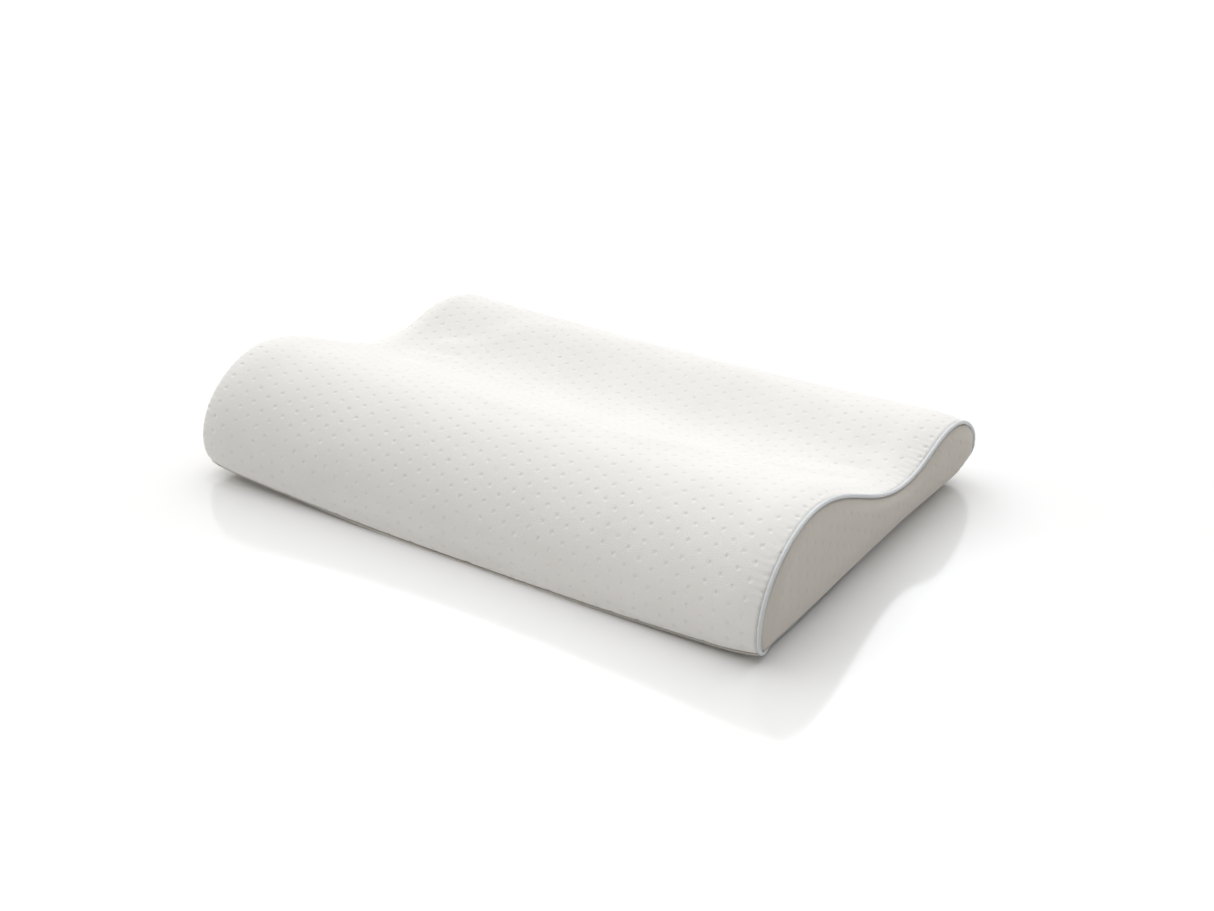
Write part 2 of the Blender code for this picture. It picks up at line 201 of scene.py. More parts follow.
SIDES = {  # four sides of the end panel, each a run of section parts
    "front": [("foot", SEAM_AT, 1), ("front", 0, 0.55)],
    "top": [("front", 0.55, 1), ("fall", 0, 1), ("rise", 0, 1), ("back", 0, 0.5)],
    "rear": [("back", 0.5, 1), ("zip", 0, 1), ("heel", 0, 0.6)],
    "bottom": [("heel", 0.6, 1), ("base", 0, 1), ("foot", 0, SEAM_AT)],
}
SIDE_CELLS = {"front": 13, "top": 54, "rear": 13, "bottom": 54}


def walk(runs):
    """Even steps of about half a millimetre along some parts of the section."""
    line = []
    for part, start, end in runs:
        y, z = section(part, np.linspace(start, end, 400))
        line.append(np.stack([y, z], axis=1))
    line = np.concatenate(line)
    gaps = np.hypot(*np.diff(line, axis=0).T)
    line = line[np.concatenate([[True], gaps > 1e-9])]
    length = np.concatenate([[0], np.cumsum(np.hypot(*np.diff(line, axis=0).T))])
    even = np.linspace(0, length[-1], int(length[-1] / 0.0005) + 2)
    return np.stack([np.interp(even, length, line[:, k]) for k in (0, 1)], axis=1)


def whole_loop():
    """The section once round, its way s, its outward normals, and where each side starts."""
    lines = [walk(SIDES[name]) for name in SIDES]
    starts = [0.0]
    for line in lines:
        starts.append(starts[-1] + float(np.hypot(*np.diff(line, axis=0).T).sum()))
    loop = np.concatenate([line[:-1] for line in lines] + [lines[0][:1]])
    way = np.concatenate([[0], np.cumsum(np.hypot(*np.diff(loop, axis=0).T))])
    ahead = np.roll(loop[:-1], -1, axis=0) - np.roll(loop[:-1], 1, axis=0)
    ahead = sum(np.roll(ahead, k, axis=0) for k in range(-6, 7))
    ahead /= np.hypot(*ahead.T)[:, None]
    normal = np.stack([-ahead[:, 1], ahead[:, 0]], axis=1)
    normal = np.concatenate([normal, normal[:1]])
    return loop, way, normal, np.array(starts)


LOOP, WAY, NORMAL, STARTS = whole_loop()
ROUND = WAY[-1]
ZIP_WAY = float(WAY[np.argmin(np.hypot(LOOP[:, 0] - REAR_Y, LOOP[:, 1] - ZIP_Z))])


def skin(x, s, depth):
    """Points at x, at way s round the section, depth below the cover's face."""
    s = np.mod(s, ROUND)
    y, z = (np.interp(s, WAY, LOOP[:, k]) for k in (0, 1))
    normal_y, normal_z = (np.interp(s, WAY, NORMAL[:, k]) for k in (0, 1))
    return np.stack([x + 0 * s, y - normal_y * depth, z - normal_z * depth], axis=-1)


def roll(x):
    """How far the cover has rolled in at x."""
    inner = np.clip((HALF - np.abs(x)) / ROLL_WIDTH, 0.0, 1.0)
    return EDGE_ROLL * (1 - inner) ** 2


def held(x):
    """How far in the cover is held at x before it is stuffed. The left end turns a full corner."""
    t = np.clip(1 - (x + HALF) / CORNER_R, 0.0, 1.0)
    return EDGE_ROLL + CORNER_R * (1 - np.sqrt(np.maximum(1 - t * t, 0.0)))


def snug(x):
    """Bring the cover's left edge right up to its piping, round the end's corner."""
    inner = np.clip((x + HALF) / SNUG_WIDTH, 0.0, 1.0)
    return x - SNUG * (1 - inner) ** 2


def seam_drop(x, y, z):
    """The left end is rounded more fully than the right, above all at the low side."""
    inner = np.clip((HALF + x) / 0.034, 0.0, 1.0)
    fuller = LEFT_DROP * smooth(y, -0.05, 0.10)
    return fuller * (1 - inner) ** 2 * smooth(z, 0.020, 0.055)


def settle(p):
    """The whole pillow as it lies: bowed a little, its ends lifted, its bottom corners tucked."""
    x, y, z = p[..., 0], p[..., 1], p[..., 2]
    far = np.abs(x) / HALF
    middle = 1 - far**2
    free = 1 - smooth(y, 0.04, 0.12) * (1 - smooth(z, 0.036, 0.060))  # 0 round the zip
    front = 1 - smooth(y, -0.03, 0.10)
    low = 1 - smooth(z, 0.0, 0.030)
    # Both ends stand a little higher than the middle, the left one more.
    bottom_lift = np.where(x > 0, 0.35, 0.65)
    lift = np.where(x > 0, LIFT_RIGHT, LIFT_LEFT) * far**2 * (1 - low * (1 - bottom_lift))
    rise = free * (lift - SINK * (1 - low))
    # The middle bows out to the front and to the rear.
    bow = front * (FRONT_BOW * middle * (1 - 0.8 * low) - FRONT_SET)
    bow -= SEAM_BOW * middle * (1 - smooth(z, 0.0, 0.012)) * (1 - smooth(y, -0.150, -0.120))
    bow += (1 - front) * free * (REAR_BOW * middle - REAR_SET)
    # The bottom edges of both ends are drawn in, except at the front corners.
    near_end = smooth(np.abs(x), END_START, HALF)
    tuck = (TUCK + TUCK_BACK * smooth(y, -0.13, 0.10)) * low * near_end
    tuck += TUCK_UNDER * near_end * (1 - smooth(z, 0.003, 0.014)) * smooth(y, -0.160, -0.135)
    behind_corner = smooth(y, -0.166, -0.138)
    rise -= seam_drop(x, y, z)
    rise -= CORNER_DROP * behind_corner * near_end**2 * (1 - smooth(z, 0.004, 0.020))
    tuck += np.where(x < 0, TUCK_LEFT * smooth(y, 0.0, 0.10) * near_end * (1 - low), 0.0)
    z = np.maximum(z + rise, 0.0)
    return np.stack([x - np.sign(x) * tuck, y + bow, z], axis=-1)


# --- the stuffed bag ------------------------------------------------------------------------

ALONG = 84  # cells of the bag from end to end
side_ways = []
for k, part_side in enumerate(SIDES):
    cells_here = SIDE_CELLS[part_side]
    side_ways.append(np.linspace(STARTS[k], STARTS[k + 1], cells_here, endpoint=False))
BAG_WAYS = np.concatenate([*side_ways, [ROUND]])  # the bag's rows, as ways round the section
AROUND = len(BAG_WAYS) - 1


def end_patch(side, across, up, depth):
    """Points inside the end's outline, from four-sided blending of its sides."""
    front, top, rear, bottom = STARTS[:4]
    lengths = np.diff(STARTS)
    x = side * HALF
    low = skin(x, bottom + lengths[3] * (1 - across), depth)
    high = skin(x, top + lengths[1] * across, depth)
    left = skin(x, front + lengths[0] * up, depth)
    right = skin(x, rear + lengths[2] * (1 - up), depth)
    corners = [skin(x, np.array(s), depth) for s in (front, top, ROUND - lengths[3], rear)]
    u, v = across[..., None], up[..., None]
    patch = (1 - v) * low + v * high + (1 - u) * left + u * right
    patch -= (1 - u) * (1 - v) * corners[0] + (1 - u) * v * corners[1]
    patch -= u * (1 - v) * corners[2] + u * v * corners[3]
    return patch


def grid(bm, across, up, place):
    """A grid of quads put in place by place(u, v), both from 0 to 1."""
    made = bmesh.ops.create_grid(bm, x_segments=across, y_segments=up, size=1.0)["verts"]
    flat = (coords(made)[:, :2] + 1) / 2
    move(made, place(flat[:, 0], flat[:, 1]))
    return made


def tube_way(v):
    """The way round the section at share v of the bag's rows."""
    return np.interp(v * AROUND, np.arange(AROUND + 1), BAG_WAYS)


def bag_place(x, s, depth=0.0):
    """The settled cover before it is stuffed."""
    return settle(skin(x, s, held(x) + depth))


def bag_mesh():
    """A tube along the pillow with its two ends closed, a little smaller than the cover."""
    bm = bmesh.new()
    grid(bm, ALONG, AROUND, lambda u, v: bag_place(HALF * (2 * u - 1), tube_way(v)))
    for side in (-1, 1):
        cells = SIDE_CELLS["top"], SIDE_CELLS["front"]
        grid(bm, *cells, lambda u, v, side=side: settle(end_patch(side, u, v, held(side * HALF))))
    bmesh.ops.remove_doubles(bm, verts=bm.verts, dist=1e-5)
    bmesh.ops.recalc_face_normals(bm, faces=bm.faces)
    mesh = bpy.data.meshes.new("bag")
    bm.to_mesh(mesh)
    bm.free()
    return mesh


def blow_up(mesh):
    """Where each point of the bag goes under a little air, its end seams held."""
    bag = bpy.data.objects.new("bag", mesh)
    bpy.context.scene.collection.objects.link(bag)
    seams = bag.vertex_groups.new(name="seams")
    start = np.array([v.co for v in mesh.vertices])
    home = [bag_place(side * HALF, BAG_WAYS[:-1]) for side in (-1, 1)]
    tree = kdtree.KDTree(len(start))
    for i, place in enumerate(start):
        tree.insert(place, i)
    tree.balance()
    seams.add(range(len(start)), FOAM_HOLD, "REPLACE")
    seams.add([tree.find(p)[1] for p in np.concatenate(home)], 1.0, "REPLACE")
    cloth = bag.modifiers.new("air", "CLOTH").settings
    cloth.quality = 6
    cloth.mass = 0.3
    cloth.tension_stiffness = 15
    cloth.compression_stiffness = 15
    cloth.shear_stiffness = 5
    cloth.bending_stiffness = 0.5
    cloth.use_pressure = True
    cloth.uniform_pressure_force = 4
    cloth.vertex_group_mass = "seams"
    cloth.pin_stiffness = 0.03
    cloth.effector_weights.gravity = 0
    scene = bpy.context.scene
    for step in range(1, 21):
        scene.frame_set(step)
    blown = bag.evaluated_get(bpy.context.evaluated_depsgraph_get()).to_mesh()
    moved = np.array([v.co for v in blown.vertices]) - start
    scene.frame_set(1)
    bpy.data.objects.remove(bag)
    return tree, moved


def lookup(table, a, b):
    """A soft bicubic reading of a table of moves at the places (a, b), in cells."""
    rows, columns = table.shape[:2]
    result = 0
    for j in range(-1, 3):
        for k in range(-1, 3):
            ia, ib = np.floor(a).astype(int), np.floor(b).astype(int)
            weight = spline(a - ia - j) * spline(b - ib - k)
            at = np.clip(ia + j, 0, rows - 1), np.clip(ib + k, 0, columns - 1)
            result = result + weight[..., None] * table[at]
    return result


def spline(t):
    """The weight of a cubic B-spline at distance t, in cells."""
    t = np.abs(t)
    return np.where(t < 1, 2 / 3 - t**2 + t**3 / 2, np.maximum(2 - t, 0) ** 3 / 6)


def stuffing():
    """Tables of how far the cover swells: once for the tube, once for each end."""
    x = np.linspace(-HALF, HALF, ALONG + 1)[:, None] + 0 * BAG_WAYS[None, :]
    s = BAG_WAYS[None, :] + 0 * x
    start = bag_place(x, s)
    target = bag_place(x, s, roll(x) - EDGE_ROLL)
    u = np.linspace(0, 1, SIDE_CELLS["top"] + 1)[:, None]
    v = np.linspace(0, 1, SIDE_CELLS["front"] + 1)[None, :]
    u, v = u + 0 * v, v + 0 * u
    ends = {side: settle(end_patch(side, u, v, held(side * HALF))) for side in (-1, 1)}
    edge = np.minimum(np.minimum(u, 1 - u) * 0.33, np.minimum(v, 1 - v) * 0.065)
    swell = BULGE * smooth(edge, -0.004, 0.016)
    swell *= edge > 0
    tree, moved = blow_up(bag_mesh())
    places = start.reshape(-1, 3)
    tube = moved[[tree.find(p)[1] for p in places]].reshape(start.shape)
    outward = bag_place(x, s, -0.001) - start
    outward /= np.linalg.norm(outward, axis=-1, keepdims=True)
    swollen = (tube * outward).sum(axis=-1)
    full = np.median(swollen[8:-8])
    share = np.clip(swollen / full, LEAST, 1.0)
    near_zip = smooth(0.030 - np.abs(s - ZIP_WAY), 0, 0.012)
    near_zip = np.maximum(near_zip, smooth(0.004 - target[..., 2], 0, 0.004))
    share += (1 - share) * near_zip
    tube = (target - start) * share[..., None]
    out = {}
    for side, patch in ends.items():
        found = [tree.find(p)[1] for p in patch.reshape(-1, 3)]
        rise = side * moved[found].reshape(patch.shape)[..., 0]
        share = np.clip(rise / np.median(rise[6:-6, 3:-3]), LEAST, 1.0)
        out[side] = np.stack([side * swell * share, 0 * u, 0 * u], axis=-1)
    return tube, out


SWELL, END_SWELL = stuffing()


def cover(x, s, depth):
    """The settled, stuffed cover at x and way s, depth below its face."""
    s = np.mod(s, ROUND)
    a = (x / HALF + 1) / 2 * ALONG
    b = np.interp(s, BAG_WAYS, np.arange(AROUND + 1))
    return bag_place(x, s, depth) + lookup(SWELL, a, b)


# --- pits and puckers -----------------------------------------------------------------------


def pit_share(x, s):
    """How deep a point is in its nearest pit, from 0 at the rim to 1."""
    across, up, home = PIT_ACROSS, PIT_UP, PIT_HOME
    det = across.x * up.y - up.x * across.y
    dx, ds = x - home.x, s - home.y
    i = (dx * up.y - up.x * ds) / det
    j = (across.x * ds - dx * across.y) / det
    best = np.full_like(x, 1.0)
    strength = np.ones_like(x)
    for di in (0, 1):
        for dj in (0, 1):
            ci, cj = np.floor(i) + di, np.floor(j) + dj
            px = dx - ci * across.x - cj * up.x
            ps = ds - ci * across.y - cj * up.y
            far = np.hypot(px, ps)
            nearer = far < best
            best = np.where(nearer, far, best)
            chance = np.mod(np.sin(ci * 12.9898 + cj * 78.233) * 43758.5453, 1.0)
            strength = np.where(nearer, 0.82 + 0.3 * chance, strength)
    return strength * (1 - smooth(best, -0.0006, PIT_R + 0.0003))


def pucker(s, from_seam, reach, seed):
    """Little pleats that run away from a stitched seam."""
    wander = 0.9 * np.sin(s / 0.031 + seed) + 0.7 * np.sin(s / 0.0173 + 2 * seed)
    pleat = np.sin(math.tau * s / PLEAT + wander)
    uneven = 0.65 + 0.35 * np.sin(s / 0.0127 + 3 * seed) * np.sin(s / 0.041)
    return pleat * uneven * np.exp(-from_seam / reach) * smooth(from_seam, 0.0, 0.002)


# --- pieces ---------------------------------------------------------------------------------


def piece(name, bm, finish, node, body="pillow", soft=True):
    """Turn a bmesh into an object that rides on its body and stands for its CAD node."""
    mesh = bpy.data.meshes.new(name)
    bm.to_mesh(mesh)
    bm.free()
    mesh.materials.append(finish)
    if soft:
        mesh.shade_smooth()
    obj = bpy.data.objects.new(name, mesh)
    bpy.context.scene.collection.objects.link(obj)
    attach(obj, body)
    if node:
        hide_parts(node)
    return obj


def lattice_sheet(x_low, x_high, s_low, s_high):
    """A flat sheet of triangles that has a round pit face at each place of the pit lattice."""
    bm = bmesh.new()
    across = PIT_ACROSS / FINE
    up = PIT_UP / FINE
    wide = math.ceil((x_high - x_low) / 2 / across.x / FINE + 2) * FINE
    tall = math.ceil(((s_high - s_low) / 2 + wide * across.y) / up.y / FINE + 2) * FINE
    bmesh.ops.create_grid(bm, x_segments=2 * wide, y_segments=2 * tall, size=1.0)
    flat = coords(bm.verts)
    centre_i = round(((x_low + x_high) / 2 - PIT_HOME.x) / PIT_ACROSS.x) * FINE
    middle = (s_low + s_high) / 2 - PIT_HOME.y - centre_i * across.y
    centre_j = round(middle / PIT_UP.y) * FINE
    i = np.rint(flat[:, 0] * wide) + centre_i
    j = np.rint(flat[:, 1] * tall) + centre_j
    x = PIT_HOME.x + i * across.x + j * up.x
    s = PIT_HOME.y + i * across.y + j * up.y
    move(bm.verts, np.stack([x, s, 0 * x], axis=1))
    margin = PIT_R + 0.0012
    for near, far, axis in ((x_low, x_high, 0), (s_low, s_high, 1)):
        slice_at(bm, axis, near, -1, clear=True)
        slice_at(bm, axis, far, 1, clear=True)
    bmesh.ops.triangulate(bm, faces=bm.faces, quad_method="SHORT_EDGE")
    flat = coords(bm.verts)
    found = pit_share(flat[:, 0], flat[:, 1]) > 0.75
    inside = (flat[:, 0] > x_low + margin) & (flat[:, 0] < x_high - margin)
    inside &= (flat[:, 1] > s_low + margin) & (flat[:, 1] < s_high - margin)
    pits = [v for v, use in zip(bm.verts[:], found & inside) if use]
    made = bmesh.ops.bevel(
        bm,
        geom=pits,
        offset=PIT_R,
        offset_type="OFFSET",
        segments=1,
        profile=0.5,
        affect="VERTICES",
        clamp_overlap=False,
        material=-1,
    )
    floors = made["faces"]
    for thickness in (0.0008, 0.0006):
        bmesh.ops.inset_individual(bm, faces=floors, thickness=thickness, use_even_offset=True)
    return bm


def tighten(bm, x_edge, width, cuts):
    """Finer cells next to the two end seams, where the pleats are."""
    edges = [e for e in bm.edges if all(abs(v.co.x) > x_edge - width for v in e.verts)]
    bmesh.ops.subdivide_edges(bm, edges=edges, cuts=cuts, use_grid_fill=True)


def slice_at(bm, axis, place, sign, clear=False):
    """Cut along a plane at place on one axis; clear takes away what lies beyond it."""
    normal = Vector((0, 0, 0))
    normal[axis] = sign
    everything = bm.verts[:] + bm.edges[:] + bm.faces[:]
    bmesh.ops.bisect_plane(
        bm,
        geom=everything,
        dist=1e-5,
        plane_co=normal * place * sign,
        plane_no=normal,
        clear_outer=clear,
    )


def edge_cuts(bm, x_edge):
    """Close rows of cells beside the two end seams, where the cloth rolls in."""
    for inward in (0.0004, 0.0010, 0.0020):
        for side in (-1, 1):
            slice_at(bm, 0, side * (x_edge - inward), side)


def shut(x):
    """0 along the zip, 1 past it, where the two panels meet in a plain seam."""
    return smooth(np.abs(x), ZIP_SHUT, ZIP_SHUT + 0.0035)


def seam_dip(x, from_edge):
    """Where the zip ends the cover dips a little, so the pull tab lies clear of it."""
    near = smooth(np.abs(x), ZIP_SHUT - 0.004, ZIP_SHUT) * (1 - smooth(np.abs(x), 0.218, 0.232))
    return ZIP_DIP * near * (1 - smooth(from_edge, 0.002, 0.012))


def finer(bm, low, high):
    """Halve the cells whose way lies between low and high."""
    edges = [e for e in bm.edges if all(low < v.co.y < high for v in e.verts)]
    bmesh.ops.subdivide_edges(bm, edges=edges, cuts=1, use_grid_fill=True)


def write_uv(bm, flat):
    """Keep the cloth's own flat place, in metres, as its UV map."""
    layer = bm.loops.layers.uv.new("cloth")
    for vert, place in zip(bm.verts, flat.tolist()):
        for loop in vert.link_loops:
            loop[layer].uv = place[:2]


def write_share(bm, name, values):
    """Keep one value per vertex, for a material to read."""
    layer = bm.verts.layers.float.new(name)
    for vert, value in zip(bm.verts, values.tolist()):
        vert[layer] = value


def band(finish):
    """The velour band, from the lower front seam over the top to the zip."""
    x_edge = HALF - PANEL_IN
    s_low, s_high = 0.0, ZIP_WAY - SLOT_HALF
    bm = lattice_sheet(-x_edge, x_edge, s_low, s_high)
    tighten(bm, x_edge, 0.018, 1)
    finer(bm, s_high - 0.010, s_high + 0.001)
    edge_cuts(bm, x_edge)
    flat = coords(bm.verts)
    x, s = flat[:, 0], flat[:, 1]
    share = pit_share(x, s)
    from_seam = x_edge - np.abs(x)
    valley = np.exp(-(((s - VALLEY_WAY) / 0.050) ** 2))
    depth = PIT_DEPTH * share
    depth -= pucker(s, from_seam, PLEAT_REACH, 1.0) * (PLEAT_RISE + VALLEY_RISE * valley)
    calm = smooth(s_high - s, 0.004, 0.030)
    depth -= WAVER * calm * ripple(x / 0.045, s / 0.040, 3)
    depth += 0.00025 * np.exp(-(((s_high - STITCH_IN - s) / 0.0012) ** 2)) * (1 - shut(x))
    depth += EDGE_TURN * np.maximum(0, 1 - from_seam / EDGE_TURN) ** 2
    depth += 0.0005 * np.maximum(0, 1 - (s - s_low) / 0.0025) ** 2
    depth += 0.0010 * np.maximum(0, 1 - (s_high - s) / 0.0020) ** 2
    depth += seam_dip(x, s_high - s)
    write_uv(bm, flat)
    write_share(bm, "pit", share)
    reach = s + SLOT_HALF * shut(x) * smooth(s, s_high - 0.012, s_high)
    places = cover(snug(x), reach, depth)
    places[:, 2] = np.maximum(places[:, 2], 0.0)
    move(bm.verts, places)
    hem_in(bm, HEM)
    obj = piece("cover_band", bm, finish, "cover_top_band")
    return obj


def hem_in(bm, depth):
    """Turn the open rim in by depth, as a seam allowance does."""
    bm.normal_update()
    rim = [e for e in bm.edges if e.is_boundary]
    inward = {v: v.normal.copy() for e in rim for v in e.verts}
    made = bmesh.ops.extrude_edge_only(bm, edges=rim)["geom"]
    fresh = [g for g in made if isinstance(g, bmesh.types.BMVert)]
    for vert in fresh:
        old = min(
            (e.other_vert(vert) for e in vert.link_edges if e.other_vert(vert) in inward),
            key=lambda v: (v.co - vert.co).length,
        )
        vert.co -= inward[old] * depth


def base_panel(finish):
    """The plain panel underneath, from the zip to the lower front seam."""
    x_edge = HALF - PANEL_IN
    s_low, s_high = ZIP_WAY + SLOT_HALF, ROUND
    bm = bmesh.new()

    def flat_place(u, v):
        return np.stack([x_edge * (1 - 2 * u), s_low + (s_high - s_low) * v, 0 * u], axis=1)

    grid(bm, 120, 100, flat_place)
    edge_cuts(bm, x_edge)
    flat = coords(bm.verts)
    x, s = flat[:, 0], flat[:, 1]
    from_seam = x_edge - np.abs(x)
    depth = EDGE_TURN * np.maximum(0, 1 - from_seam / EDGE_TURN) ** 2
    depth += 0.0006 * np.maximum(0, 1 - (s_high - s) / 0.0035) ** 2
    write_uv(bm, flat)
    depth += 0.0010 * np.maximum(0, 1 - (s - s_low) / 0.0020) ** 2
    depth += seam_dip(x, s - s_low)
    reach = s - SLOT_HALF * shut(x) * (1 - smooth(s, s_low, s_low + 0.012))
    places = cover(snug(x), reach, depth)
    places[:, 2] = np.maximum(places[:, 2], 0.0)
    move(bm.verts, places)
    bmesh.ops.recalc_face_normals(bm, faces=bm.faces)
    hem_in(bm, HEM)
    obj = piece("cover_base", bm, finish, "cover_base_panel")
    return obj


def end_panel(side, name, finish):
    """A wave-shaped end panel, a little bulged, inside its piping."""
    bm = bmesh.new()
    made = bmesh.ops.create_grid(bm, x_segments=300, y_segments=66, size=1.0)["verts"]
    flat = (coords(made)[:, :2] + 1) / 2
    u, v = flat[:, 0], flat[:, 1]
    rim_in = held(side * HALF) + PIPING_R * 0.8
    home = end_patch(side, u, v, rim_in)
    y, z = home[:, 1], home[:, 2]
    outline = skin(side * HALF, np.linspace(0, ROUND, OUTLINE_POINTS), rim_in)[:, 1:]
    from_seam = np.full_like(y, 1.0)
    nearest = np.zeros_like(y)
    for step, point in enumerate(outline):
        far = np.hypot(y - point[0], z - point[1])
        closer = far < from_seam
        from_seam = np.where(closer, far, from_seam)
        nearest = np.where(closer, step * ROUND / OUTLINE_POINTS, nearest)
    share = pit_share(y * side + 0.011, z + 0.004) * smooth(from_seam, 0.0020, 0.0035)
    depth = 0.85 * PIT_DEPTH * share
    depth -= END_PLEAT_RISE * pucker(nearest, from_seam, END_PLEAT_REACH, 2.0 + side)
    depth -= END_WAVER * ripple(y / 0.030, z / 0.026, 5 + side)
    depth += PANEL_TURN * np.maximum(0, 1 - from_seam / PANEL_TURN) ** 2
    write_uv(bm, np.stack([y, z], axis=1))
    write_share(bm, "pit", share)
    a, b = u * SIDE_CELLS["top"], v * SIDE_CELLS["front"]
    places = settle(home) + lookup(END_SWELL[side], a, b)
    places[:, 0] -= side * depth
    move(bm.verts, places)
    if faces_in(bm, side):
        bmesh.ops.reverse_faces(bm, faces=bm.faces)
    hem_in(bm, END_HEM)
    node = "cover_end_panel_right" if side > 0 else "cover_end_panel_left"
    obj = piece(name, bm, finish, node)
    return obj


def faces_in(bm, side):
    """Whether the end panel's middle face looks into the pillow."""
    bm.normal_update()
    bm.faces.ensure_lookup_table()
    return bm.faces[len(bm.faces) // 2].normal.x * side < 0


def foam_pad(finish):
    """The moulded foam core just under the cover."""
    bm = bmesh.new()

    def tube(u, v):
        x, s = HALF * (2 * u - 1), tube_way(v)
        near_zip = smooth(0.026 - np.abs(s - ZIP_WAY), 0, 0.014) * (np.abs(x) < HALF - 0.02)
        return cover(x, s, CORE_IN + CORE_GROOVE * near_zip)

    grid(bm, ALONG, AROUND, tube)
    for side in (-1, 1):
        cells = SIDE_CELLS["top"], SIDE_CELLS["front"]

        def cap_place(u, v, side=side):
            a, b = u * SIDE_CELLS["top"], v * SIDE_CELLS["front"]
            place = settle(end_patch(side, u, v, held(side * HALF) + CORE_IN))
            inner = lookup(END_SWELL[side], a, b)
            edge = np.minimum(np.minimum(u, 1 - u) * 0.33, np.minimum(v, 1 - v) * 0.065)
            inner[:, 0] -= side * CORE_IN * smooth(edge, 0, 0.006)
            return place + inner

        grid(bm, *cells, cap_place)
    bmesh.ops.remove_doubles(bm, verts=bm.verts, dist=0.0004)
    bmesh.ops.recalc_face_normals(bm, faces=bm.faces)
    obj = piece("foam_pad", bm, finish, "foam_core")
    return obj


def piping(side, name, finish):
    """A round satin cord in the end seam."""
    bm = bmesh.new()
    turns, along = 10, 420

    def place(u, v):
        s = u * ROUND
        angle = v * math.tau
        pinch = 1 - 0.10 * (0.5 + 0.5 * np.sin(math.tau * s / PLEAT + side)) ** 4
        radius = PIPING_R * pinch
        x = side * (HALF + radius * np.cos(angle))
        depth = held(side * HALF) - radius * np.sin(angle)
        return settle(skin(x, s, depth))

    grid(bm, along, turns, place)
    bmesh.ops.remove_doubles(bm, verts=bm.verts, dist=2e-5)
    bmesh.ops.recalc_face_normals(bm, faces=bm.faces)
    node = "piping_right" if side > 0 else "piping_left"
    return piece(name, bm, finish, node)


def tape(side, name, finish):
    """One woven tape of the zip, from beside the chain to under the cover."""
    bm = bmesh.new()
    reach = ZIP_SHUT + 0.0030

    def place(u, v):
        x = reach * (2 * u - 1)
        return skin(x, ZIP_WAY - side * (TAPE_GAP + TAPE_WIDTH * v), TAPE_IN)

    grid(bm, 210, 10, place)
    bmesh.ops.recalc_face_normals(bm, faces=bm.faces)
    bm.normal_update()
    if sum(f.normal.y for f in bm.faces) < 0:
        bmesh.ops.reverse_faces(bm, faces=bm.faces)
    write_uv(bm, coords(bm.verts)[:, [0, 2]])
    obj = piece(name, bm, finish, f"zip_tape_{'upper' if side > 0 else 'lower'}")
    wall = obj.modifiers.new("thickness", "SOLIDIFY")
    wall.thickness = TAPE_T
    wall.offset = -1.0
    return obj


def rounded_block(bm, size, centre, width):
    """A small block with its edges broken."""
    made = bmesh.ops.create_cube(bm, size=1.0)["verts"]
    bmesh.ops.scale(bm, vec=size, verts=made)
    bmesh.ops.translate(bm, vec=centre, verts=made)
    edges = list({e for v in made for e in v.link_edges})
    bmesh.ops.bevel(
        bm,
        geom=edges,
        offset=width,
        offset_type="OFFSET",
        segments=1,
        profile=0.5,
        affect="EDGES",
        clamp_overlap=True,
        material=-1,
    )


def repeat(obj, step, count):
    """The same shape again and again along the zip."""
    array = obj.modifiers.new("row", "ARRAY")
    array.use_relative_offset = False
    array.use_constant_offset = True
    array.constant_offset_displace = (step, 0.0, 0.0)
    array.count = count


def chain(side, name, finish):
    """One half of the nylon chain: a close row of hooked turns along the tape."""
    bm = bmesh.new()
    count = int((2 * ZIP_END - 0.002) / CHAIN_PITCH)
    low, high = chain_low[1], chain_high[1]
    x = -ZIP_END + 0.0010 + (CHAIN_PITCH / 2 if side > 0 else 0.0)
    middle_y = (low + high) / 2
    middle_z = ZIP_Z + side * (CHAIN_INNER + CHAIN_OUTER) / 2
    size = (0.00072, high - low, CHAIN_OUTER - CHAIN_INNER)
    rounded_block(bm, size, (x, middle_y, middle_z), 0.00022)
    head = (0.00095, (high - low) * 0.8, 0.0007)
    rounded_block(bm, head, (x, middle_y, ZIP_Z + side * (CHAIN_INNER + 0.00045)), 0.0002)
    node = f"zip_chain_{'upper' if side > 0 else 'lower'}"
    obj = piece(name, bm, finish, node, soft=False)
    repeat(obj, CHAIN_PITCH, count)
    return obj


def stitches(side, name, finish):
    """A row of lockstitch that holds the zip in the cover."""
    bm = bmesh.new()
    reach = tape_high[0] - 0.002
    s = ZIP_WAY - side * (SLOT_HALF + STITCH_IN)
    place = skin(-reach, np.array(s), -0.00002).tolist()
    rounded_block(bm, (0.0025, 0.0007, 0.0005), place, 0.0002)
    obj = piece(name, bm, finish, None)
    repeat(obj, STITCH_PITCH, int(2 * reach / STITCH_PITCH) + 1)
    return obj


VALLEY_WAY = float(
    WAY[np.argmin(np.where(LOOP[:, 1] > 0.03, np.abs(LOOP[:, 0] - (REAR_Y - VALLEY_IN)), 1.0))]
)


# --- materials ------------------------------------------------------------------------------

FIRST, SECOND, BLEND = 6, 7, 2  # a colour mix node's two colour inputs and its colour output


def add(tree, kind, values=None, links=None, **settings):
    """Add a node with its settings, its input values and its links."""
    node = tree.nodes.new(kind)
    for key, value in settings.items():
        setattr(node, key, value)
    for key, value in (values or {}).items():
        node.inputs[key].default_value = value
    for key, socket in (links or {}).items():
        tree.links.new(socket, node.inputs[key])
    return node


def new_material(name, values):
    """A material with one Principled shader and constant values on its own sockets."""
    made = bpy.data.materials.new(name)
    made.use_nodes = True
    tree = made.node_tree
    shader = tree.nodes["Principled BSDF"]
    for key, value in values.items():
        shader.inputs[key].default_value = value
    return made, tree, shader


